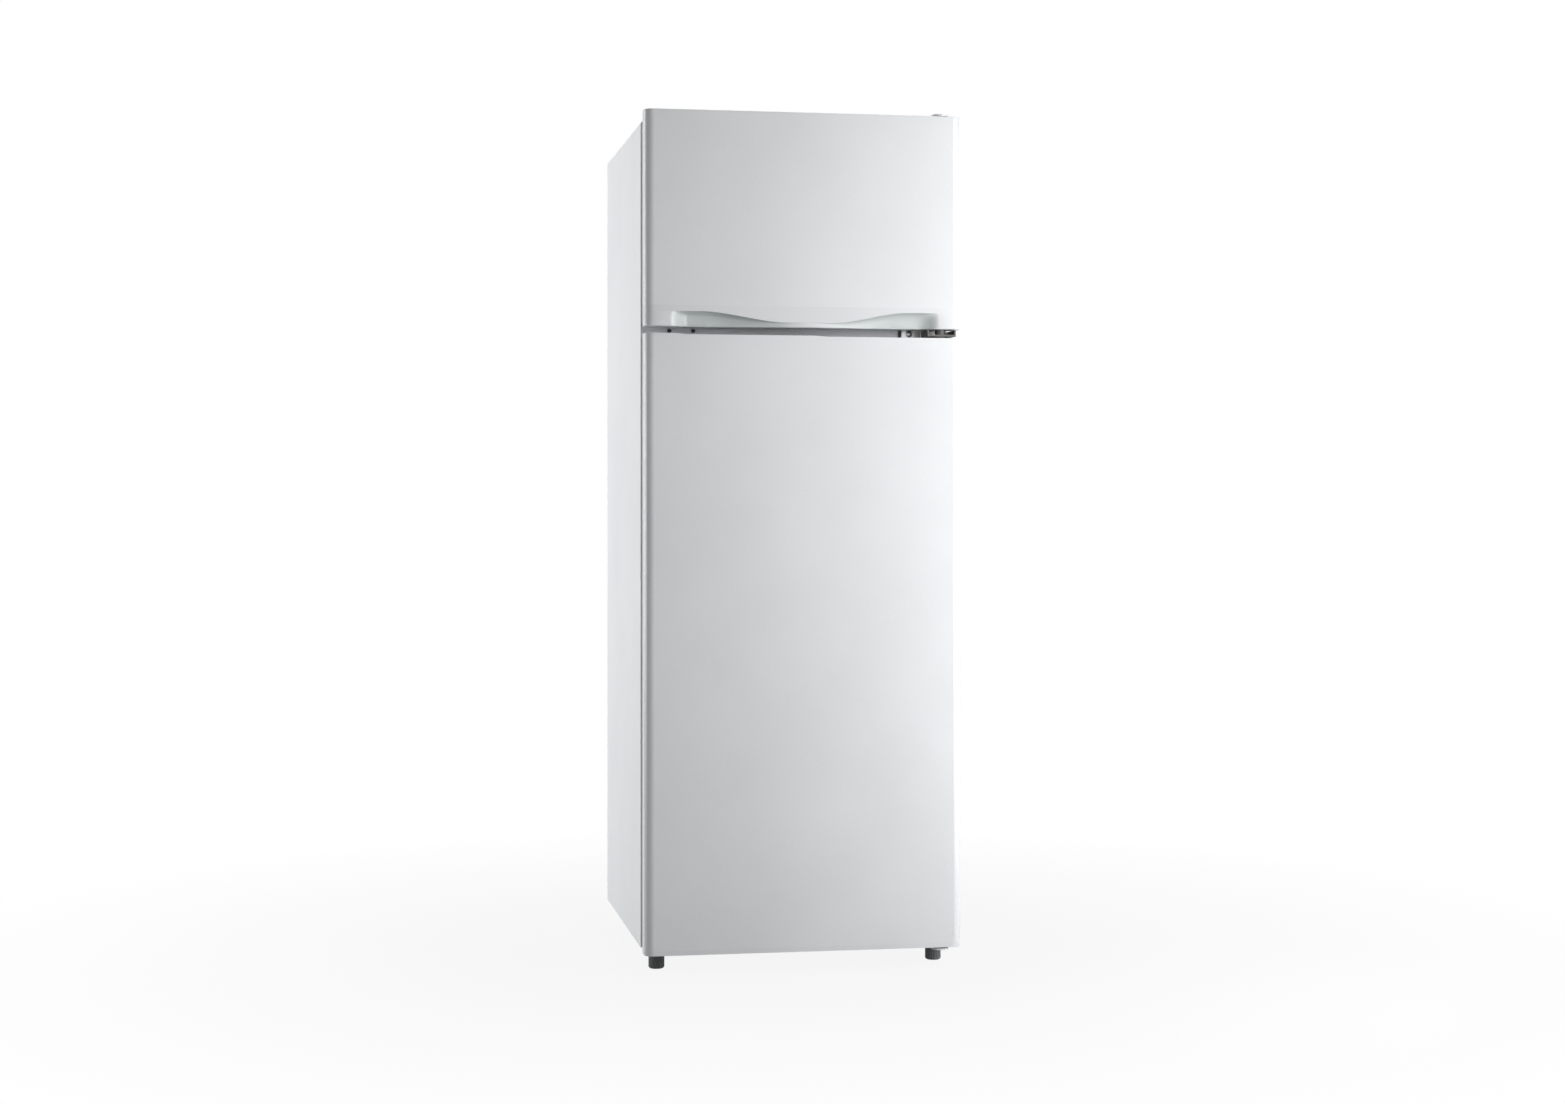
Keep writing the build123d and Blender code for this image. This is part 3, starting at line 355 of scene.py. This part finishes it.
# freezer handle: the door's bottom end, hollowed under a wave-shaped edge
handle = {
    "seam": 0.035, "lip": 0.001, "tongue": 0.003,  # where the skin starts, and the tongue behind it
    "frontRound": (0.015, 8), "backRound": (0.013, 6), "bottomRound": (0.0012, 2),  # radius, segments
    "waveLeft": 0.0253, "waveLow": 0.008, "waveRight": 0.0268,  # the wave's height over the bottom
    "waveStarts": (-0.178, -0.03), "waveEnds": (0.045, 0.178),
    "hollow": (-0.228, 0.231), "deepLeft": 0.020, "crest": 0.0006, "deepRight": 0.015,
    "leftWall": 0.032, "leftFloor": -0.150, "crestAt": 0.010, "rightFloor": (0.150, 0.188), "wallLeans": 1.6,
    "coveLeft": 0.3, "coveRight": 0.75, "coveGrows": (-0.05, 0.12),  # share of the height that curves in
    "frontDepth": 0.0001, "footDepth": 0.003, "footHeight": 0.002,  # which verts belong to the front
    "paintedShadeDepth": 0.006, "rows": 14, "cutEvery": 0.003, "sharpAngle": 28,
}


def waveHeight(x):  # from the bottom of the handle up to the edge over the hollow
    left = handle["waveLeft"] - (handle["waveLeft"] - handle["waveLow"]) * ease(x, *handle["waveStarts"])
    return left + (handle["waveRight"] - handle["waveLow"]) * ease(x, *handle["waveEnds"])


def hollowDepth(x):  # deep at the left, nearly flush under the crest, deep again at the right
    start, end = handle["hollow"]
    floorEnds = handle["rightFloor"][1]
    fall = handle["deepLeft"] * ease(x, start, start + handle["leftWall"])
    rise = (handle["deepLeft"] - handle["crest"]) * ease(x, handle["leftFloor"], handle["crestAt"])
    again = (handle["deepRight"] - handle["crest"]) * ease(x, handle["crestAt"], handle["rightFloor"][0])
    rightWall = min(max((x - floorEnds) / (end - floorEnds), 0.0), 1.0)
    return fall - rise + again - handle["deepRight"] * ease(rightWall ** handle["wallLeans"], 0.0, 1.0)


def makeHandle():
    low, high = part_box("freezer_door_handle")
    front, bottom = low[1], low[2]
    seam = bottom + handle["seam"]
    bm = bmesh.new()
    addBox(bm, low, (high[0], high[1], seam))
    upright = [e for e in bm.edges if abs(e.verts[0].co.z - e.verts[1].co.z) > apart]
    frontEdges = [e for e in upright if e.verts[0].co.y < front + apart]
    backEdges = [e for e in upright if e not in frontEdges]
    roundEdges(bm, frontEdges, *handle["frontRound"])
    roundEdges(bm, backEdges, *handle["backRound"])
    bottomEdges = [e for e in bm.edges if all(v.co.z < bottom + near for v in e.verts)]
    roundEdges(bm, bottomEdges, *handle["bottomRound"])
    top = [f for f in bm.faces if f.normal.z > 0.9 and f.calc_center_median().z > seam - near]
    bmesh.ops.inset_region(bm, faces=top, thickness=handle["lip"], use_even_offset=True)
    grown = bmesh.ops.extrude_face_region(bm, geom=top)["geom"]
    bmesh.ops.delete(bm, geom=[face for face in top if face.is_valid], context="FACES")
    bmesh.ops.translate(bm, verts=grownParts(grown, bmesh.types.BMVert), vec=(0, 0, handle["tongue"]))
    start, end = handle["hollow"]
    count = round((end - start) / handle["cutEvery"])
    cutAlong(bm, 0, [start + (end - start) * i / count for i in range(count + 1)])
    edge, rows = handle["waveLeft"], handle["rows"]  # rows close up towards the edge
    cutAlong(bm, 2, [bottom + edge * math.sin(math.pi / 2 * i / rows) for i in range(2, rows + 1)])
    # painted shade: each vert of the hollow carries how dark its colour is painted, full at
    # paintedShadeDepth and deeper
    shade = bm.verts.layers.float.new("hollow")
    for vert in bm.verts:
        x, y, z = vert.co
        onFoot = y < front + handle["footDepth"] and z < bottom + handle["footHeight"]
        inFront = y < front + handle["frontDepth"] or onFoot
        if not inFront or z > seam - near or not start - near < x < end + near:
            continue
        wave = waveHeight(x)
        if z > bottom + edge + near:  # over the edge the front stays flat, and only makes room for the wave
            over = (z - bottom - edge) / (handle["seam"] - edge)
            vert.co.z = bottom + wave + over * (handle["seam"] - wave)
            continue
        share = (z - bottom) / edge
        vert.co.z = bottom + share * wave
        coveSpan = handle["coveRight"] - handle["coveLeft"]
        cove = handle["coveLeft"] + coveSpan * ease(x, *handle["coveGrows"])
        curve = max(share - 1 + cove, 0.0) / cove
        depth = hollowDepth(x) * math.sqrt(max(1 - curve * curve, 0.0))
        vert.co.y += depth
        vert[shade] = min(depth / handle["paintedShadeDepth"], 1.0)
    makePiece("freezerHandle", bm, [handleSilver], "freezer_door", ["freezer_door_handle"],
              sharpAngle=handle["sharpAngle"])


makeHandle()
print("handle made")


# door seals: from the door liner, two pleats and the strip that holds the magnet
seal = {
    "width": 0.017, "sharpAngle": 70,
    "pleats": [(0.0022, -0.004), (0.0026, 0.0025), (0.0024, -0.002), (0.0018, 0.003), (0.0037, 0.0)],
}  # each pleat: how far it goes back, and how much wider it gets


def makeSeal(name, node, body):
    low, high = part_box(node)
    centre = [(a + b) / 2 for a, b in zip(low, high)]
    bm = bmesh.new()
    bmesh.ops.create_grid(bm, x_segments=1, y_segments=1, size=0.5)
    bmesh.ops.rotate(bm, verts=bm.verts, matrix=Matrix.Rotation(math.radians(90), 3, "X"))
    bmesh.ops.scale(bm, verts=bm.verts, vec=(high[0] - low[0], 1, high[2] - low[2]))
    bmesh.ops.translate(bm, verts=bm.verts, vec=(centre[0], low[1], centre[2]))
    middle = bm.faces[:]
    bmesh.ops.inset_region(bm, faces=middle, thickness=seal["width"], use_even_offset=True,
                           use_boundary=True)
    bmesh.ops.delete(bm, geom=middle, context="FACES")
    halfX = (high[0] - low[0]) / 2
    ring = bm.faces[:]
    for count, (step, flare) in enumerate(seal["pleats"]):
        grown = bmesh.ops.extrude_face_region(bm, geom=ring)["geom"]
        if count:  # the first ring closes the front, later ones would be walls inside
            bmesh.ops.delete(bm, geom=[face for face in ring if face.is_valid], context="FACES")
        ring = grownParts(grown, bmesh.types.BMFace)
        for vert in grownParts(grown, bmesh.types.BMVert):
            outward = 1 if abs(vert.co.x - centre[0]) > halfX - seal["width"] / 2 else -1
            vert.co.y += step
            vert.co.x += math.copysign(1, vert.co.x - centre[0]) * outward * flare / 2
            vert.co.z += math.copysign(1, vert.co.z - centre[2]) * outward * flare / 2
    makePiece(name, bm, [sealGrey], body, [node], sharpAngle=seal["sharpAngle"])


makeSeal("fridgeDoorSeal", "fridge_door_gasket", "fridge_door")
makeSeal("freezerDoorSeal", "freezer_door_gasket", "freezer_door")
print("seals made")


# screws: a low dome with a cross recess, seated where the frame's screw heads are
screw = {"radius": 0.0055, "rim": 0.0011, "dome": 0.0013, "lines": (0.12, 0.45, 0.72, 1.0),
         "recess": 0.0014, "recessWall": 0.0002, "firstTurn": 20, "nextTurn": 37}
screwSeats = {  # where each seat is, and which way its head faces
    "front": [(0.191, -0.243, 1.075), (0.236, -0.2404, 1.0855)],
    "up": [(0.206, -0.2, 1.431), (0.252, -0.2, 1.431), (0.229, -0.178, 1.431)],
    "down": [(0.216, -0.182, 0.037), (0.252, -0.182, 0.037),
             (-0.216, -0.182, 0.037), (-0.252, -0.182, 0.037)],
}


def makeScrews():
    turns = {"front": Matrix.Rotation(math.radians(90), 4, "X"), "up": Matrix.Identity(4),
             "down": Matrix.Rotation(math.radians(180), 4, "X")}
    bm = bmesh.new()
    for facing, seats in screwSeats.items():
        for count, seat in enumerate(seats):
            turn = math.radians(screw["firstTurn"] + screw["nextTurn"] * count)
            turned = turns[facing] @ Matrix.Rotation(turn, 4, "Z")
            addScrew(bm, Matrix.Translation(seat) @ turned)
    makePiece("hingeScrews", bm, [brightScrew], "cabinet", ["hinge_screws"])


def addScrew(bm, matrix):  # a square grid, drawn out to a circle past the arms of its cross
    lines = screw["lines"]
    segments = 2 * len(lines) - 1
    head = bmesh.ops.create_grid(bm, x_segments=segments, y_segments=segments, size=1.0)["verts"]
    marks = sorted([-v for v in lines] + list(lines))
    for vert in head:
        u, v = (marks[round((c + 1) / 2 * segments)] for c in vert.co.xy)
        reach = max(abs(u), abs(v))
        toCircle = reach / max(math.hypot(u, v), 1e-6)
        share = ease(reach, lines[1], lines[3])
        scale = 1 + (toCircle - 1) * share
        flat = math.hypot(u * scale, v * scale)
        vert.co = (u * scale, v * scale, screw["rim"] + screw["dome"] * max(1 - flat * flat, 0))
        vert.co.xy *= screw["radius"]
    faces = linkedFaces(head)
    arm, reach = lines[0] * screw["radius"], lines[1] * screw["radius"]
    cross = []
    for face in faces:
        across, along = sorted(abs(c) for c in face.calc_center_median().xy)
        if across < arm and along < reach:
            cross.append(face)
    bmesh.ops.inset_region(bm, faces=cross, thickness=screw["recessWall"], depth=-screw["recess"],
                           use_even_offset=True)
    rim = [edge for edge in linkedEdges(head) if edge.is_boundary]
    skirt = grownParts(bmesh.ops.extrude_edge_only(bm, edges=rim)["geom"], bmesh.types.BMVert)
    for vert in skirt:
        vert.co.z = 0
    bmesh.ops.edgeloop_fill(bm, edges=[edge for edge in linkedEdges(skirt) if edge.is_boundary])
    made = dict.fromkeys(vert for face in faces + linkedFaces(skirt) + cross for vert in face.verts)
    bmesh.ops.transform(bm, verts=list(made), matrix=matrix)


makeScrews()
print("screws made")


# compressor: a drawn pot in two halves, the weld between them, and a foot plate
pot = {"radius": 0.060, "low": 0.060, "high": 0.200, "lowRound": 0.022, "highRound": 0.030,
       "weldAt": 0.1285, "weldRadius": 0.064, "weldThick": 0.005, "weldFoot": 0.001, "weldSteps": 3,
       "dimple": (0.034, 0.030), "dimpleDeep": 0.0015, "steps": 72, "sharpAngle": 35,
       "footHalf": (0.084, 0.050), "footRound": (0.010, 5), "footThick": 0.003}


def quarter(radius, height, size, start, steps=6):  # a rounded corner of a profile
    return [(radius + size * math.cos(a), height + size * math.sin(a))
            for a in (math.radians(start + 90 * i / steps) for i in range(steps + 1))]


def makeCompressor():
    low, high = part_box("compressor")
    x, y = (low[0] + high[0]) / 2, (low[1] + high[1]) / 2
    r, weld, gap = pot["radius"], pot["weldAt"], pot["weldFoot"]
    half = pot["weldThick"] / 2
    weldCentre = pot["weldRadius"] - half
    dimpleRim, dimpleEdge = pot["dimple"]
    dimpleFloor = pot["high"] - pot["dimpleDeep"]
    profile = [(0, pot["low"])]
    profile += quarter(r - pot["lowRound"], pot["low"] + pot["lowRound"], pot["lowRound"], -90)
    profile += [(r, weld - half - gap), (r + gap, weld - half)]
    profile += quarter(weldCentre, weld, half, -90, pot["weldSteps"])
    profile += quarter(weldCentre, weld, half, 0, pot["weldSteps"])[1:]
    profile += [(r + gap, weld + half), (r, weld + half + gap)]
    profile += quarter(r - pot["highRound"], pot["high"] - pot["highRound"], pot["highRound"], 0)
    profile += [(dimpleRim, pot["high"]), (dimpleEdge, dimpleFloor), (0, dimpleFloor)]
    bm = bmesh.new()
    lathe(bm, profile, (x, y, 0), steps=pot["steps"])
    footX, footY = pot["footHalf"]
    foot = addBox(bm, (x - footX, y - footY, low[2]), (x + footX, y + footY, low[2] + pot["footThick"]))
    corners = [e for e in linkedEdges(foot) if abs(e.verts[0].co.z - e.verts[1].co.z) > apart]
    roundEdges(bm, corners, *pot["footRound"])
    makePiece("compressorPot", bm, [blackPaint], "cabinet", ["compressor"],
              sharpAngle=pot["sharpAngle"])


makeCompressor()
print("compressor made")


# thermostat knob: fluted skirt, a raised bar across its face, and a pointer
knob = {
    "radius": 0.0165, "face": 0.990, "skirt": 0.0135, "stem": 0.0035, "stemTop": 1.018,
    "rim": [(0.005, 0.0), (0.002, 0.0005), (0.0004, 0.002), (0.0, 0.004)],  # in from the radius, and up
    "topIn": 0.001, "topUp": 0.0004,
    "flutes": 24, "fluteSteps": 6, "fluteDeep": 0.0009, "fluteBand": 0.0006,
    "barWide": 0.0045, "barTall": 0.004, "barEnds": 0.001, "barSinks": 0.001, "barNarrows": 0.6,
    "barRound": (0.0006, 2),
    "markWide": 0.001, "markEnds": (0.002, 0.004), "markOut": 0.0001, "markThick": 0.001,
}


def makeKnob():
    low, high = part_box("thermostat_knob")
    x, y = (low[0] + high[0]) / 2, (low[1] + high[1]) / 2
    face, top = knob["face"] + knob["barTall"], knob["face"] + knob["skirt"]
    r = knob["radius"]
    bm = bmesh.new()
    profile = [(0, face)] + [(r - inward, face + up) for inward, up in knob["rim"]]
    profile += [(r, top), (r - knob["topIn"], top + knob["topUp"]), (knob["stem"], top + knob["topUp"]),
                (knob["stem"], knob["stemTop"]), (0, knob["stemTop"])]
    lathe(bm, profile, (x, y, 0), steps=knob["flutes"] * knob["fluteSteps"])
    for vert in bm.verts:
        out = vert.co - Vector((x, y, vert.co.z))
        if out.length > r - knob["fluteBand"]:
            turn = math.atan2(out.y, out.x) * knob["flutes"]
            vert.co += out.normalized() * knob["fluteDeep"] * (math.cos(turn) - 1) / 2
    half = knob["barWide"] / 2
    reach = r - knob["barEnds"]
    bar = addBox(bm, (x - half, y - reach, knob["face"]), (x + half, y + reach, face + knob["barSinks"]))
    for vert in bar:
        if vert.co.z < face:
            vert.co.x = x + (vert.co.x - x) * knob["barNarrows"]
    roundEdges(bm, linkedEdges(bar), *knob["barRound"])
    half = knob["markWide"] / 2
    outer, inner = knob["markEnds"]
    mark = addBox(bm, (x - half, y - r + outer, knob["face"] - knob["markOut"]),
                  (x + half, y - inner, knob["face"] + knob["markThick"]))
    for side in linkedFaces(mark):
        side.material_index = 1
    makePiece("thermostatKnob", bm, [whitePlastic, darkPlastic], "knob", ["thermostat_knob"])


makeKnob()
print("knob made")


# lamp bulb: a pear of frosted glass in a brass screw cap
bulb = {"radius": 0.0105, "neck": 0.0058, "noseStep": 12, "noseSteps": 8, "neckAt": 0.050, "steps": 40,
        "pear": [(0.0100, 0.020), (0.0090, 0.030), (0.0074, 0.040)],  # radius, and how far behind the nose
        "capFrom": -0.058, "capTo": -0.034, "capRadius": 0.0062, "capLip": 0.0005, "capSteps": 32,
        "threads": 5, "threadDeep": 0.0009,
        "overlap": 0.002, "contact": (0.003, 0.0025), "contactAt": 0.001}


def makeBulb():
    low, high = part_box("lamp_bulb")
    x, z = (low[0] + high[0]) / 2, (low[2] + high[2]) / 2
    nose, r = low[1], bulb["radius"]
    glass = bmesh.new()
    turns = [math.radians(bulb["noseStep"] * i) for i in range(bulb["noseSteps"] + 1)]
    profile = [(r * math.sin(turn), nose + r * (1 - math.cos(turn))) for turn in turns]
    profile += [(radius, nose + behind) for radius, behind in bulb["pear"]]
    glassEnd = bulb["capFrom"] + bulb["overlap"]
    profile += [(bulb["neck"], nose + bulb["neckAt"]), (bulb["neck"], glassEnd), (0, glassEnd)]
    lathe(glass, profile, (x, 0, z), axis="Y", steps=bulb["steps"])
    makePiece("lampGlass", glass, [bulbGlass], "cabinet", ["lamp_bulb"])
    cap = bmesh.new()
    pitch = (bulb["capTo"] - bulb["capFrom"]) / bulb["threads"]
    profile = [(0, bulb["capFrom"]), (bulb["neck"] - bulb["capLip"], bulb["capFrom"])]
    for i in range(bulb["threads"] * 4):  # four points to each turn of the thread
        crest = 0.5 - 0.5 * math.cos(math.tau * i / 4)
        radius = bulb["capRadius"] - bulb["threadDeep"] * (1 - crest)
        profile.append((radius, bulb["capFrom"] + pitch * (i / 4 + 0.1)))
    wide, narrow = bulb["contact"]
    profile += [(wide, bulb["capTo"] + bulb["contactAt"]), (narrow, high[1]), (0, high[1])]
    lathe(cap, profile, (x, 0, z), axis="Y", steps=bulb["capSteps"])
    makePiece("lampCap", cap, [brassCap], "cabinet", [])


makeBulb()
print("bulb made")


# floor and room: grey paper that the camera sees as white, fully so away from the refrigerator
floorPaper = {"half": 14.0, "drop": 0.0004, "color": "909090", "rough": 0.9, "specular": 0.1,
              "shine": 0.9, "fade": (0.45, 1.6)}
roomLight = 0.18


def seenRays(tree):  # 1 where the background shows: straight, mirrored and through glass
    rays = tree.nodes.new("ShaderNodeLightPath")
    value = rays.outputs["Is Camera Ray"]
    for other in ("Is Glossy Ray", "Is Transmission Ray"):
        both = tree.nodes.new("ShaderNodeMath")
        both.operation = "MAXIMUM"
        tree.links.new(value, both.inputs[0])
        tree.links.new(rays.outputs[other], both.inputs[1])
        value = both.outputs[0]
    return value


def makeFloor():
    bm = bmesh.new()
    bmesh.ops.create_grid(bm, x_segments=1, y_segments=1, size=floorPaper["half"])
    bmesh.ops.translate(bm, verts=bm.verts, vec=(0, 0, -floorPaper["drop"]))
    mesh = bpy.data.meshes.new("floor")
    bm.to_mesh(mesh)
    bm.free()
    floor = bpy.data.objects.new("floor", mesh)
    bpy.context.collection.objects.link(floor)
    mat, tree, shader, place = startFinish("floorPaper")
    shader.inputs["Base Color"].default_value = hexColor(floorPaper["color"])
    shader.inputs["Roughness"].default_value = floorPaper["rough"]
    shader.inputs["Specular IOR Level"].default_value = floorPaper["specular"]
    length = tree.nodes.new("ShaderNodeVectorMath")  # how far from the middle of the floor
    length.operation = "LENGTH"
    tree.links.new(place, length.inputs[0])
    fade = spread(tree, length.outputs["Value"], floorPaper["shine"], 1.0, *floorPaper["fade"])
    shine = tree.nodes.new("ShaderNodeEmission")
    mix = tree.nodes.new("ShaderNodeMixShader")
    amount = tree.nodes.new("ShaderNodeMath")
    amount.operation = "MULTIPLY"
    tree.links.new(seenRays(tree), amount.inputs[0])
    tree.links.new(fade, amount.inputs[1])
    tree.links.new(amount.outputs[0], mix.inputs["Fac"])
    tree.links.new(shader.outputs["BSDF"], mix.inputs[1])
    tree.links.new(shine.outputs["Emission"], mix.inputs[2])
    tree.links.new(mix.outputs[0], tree.nodes["Material Output"].inputs["Surface"])
    mesh.materials.append(mat)


def makeWorld(level):
    world = bpy.data.worlds.new("room")
    bpy.context.scene.world = world
    world.use_nodes = True
    tree = world.node_tree
    back = tree.nodes["Background"]
    back.inputs["Color"].default_value = (1, 1, 1, 1)
    strength = tree.nodes.new("ShaderNodeMapRange")
    strength.inputs["To Min"].default_value = level
    strength.inputs["To Max"].default_value = 1.0
    tree.links.new(seenRays(tree), strength.inputs["Value"])
    tree.links.new(strength.outputs["Result"], back.inputs["Strength"])


def softbox(name, place, aim, size, power):
    data = bpy.data.lights.new(name, "AREA")
    data.shape = "RECTANGLE"
    data.size, data.size_y = size
    data.energy = power
    lamp = bpy.data.objects.new(name, data)
    lamp.location = place
    lamp.rotation_euler = (Vector(aim) - Vector(place)).to_track_quat("-Z", "Y").to_euler()
    bpy.context.collection.objects.link(lamp)


lamps = {  # place, what it is aimed at, size, power
    "keyRight": ((1.7, -1.25, 1.45), (0.0, -0.3, 1.15), (0.7, 0.8), 5.5),
    "keyHigh": ((0.95, -1.5, 1.7), (0.1, -0.3, 1.25), (0.6, 0.6), 2.4),
    "keyNear": ((0.72, -1.1, 1.35), (0.1, -0.3, 1.15), (0.4, 0.6), 4.0),
    "keyMiddle": ((0.95, -1.5, 1.15), (0.1, -0.3, 1.0), (0.5, 0.5), 5.0),
    "keyLow": ((0.95, -1.5, 0.6), (0.1, -0.3, 0.6), (0.5, 0.5), 6.0),
    "keyFoot": ((1.0, -0.85, 0.35), (0.15, -0.3, 0.45), (0.5, 0.5), 5.8),
    "sideLeft": ((-3.0, 0.6, 0.7), (-0.27, 0.1, 0.8), (1.6, 1.2), 28.0),
    "sideBack": ((-2.4, 1.9, 1.2), (-0.27, 0.1, 0.8), (1.2, 1.8), 28.5),
    "behind": ((1.6, 3.0, 1.6), (0.1, 0.2, 0.7), (2.0, 2.0), 34.0),
    "above": ((0.0, 1.0, 3.0), (0.0, 0.05, 1.4), (1.6, 1.2), 15.0),
}
makeFloor()
makeWorld(roomLight)
for name, lamp in lamps.items():
    softbox(name, *lamp)
print("floor and light set")
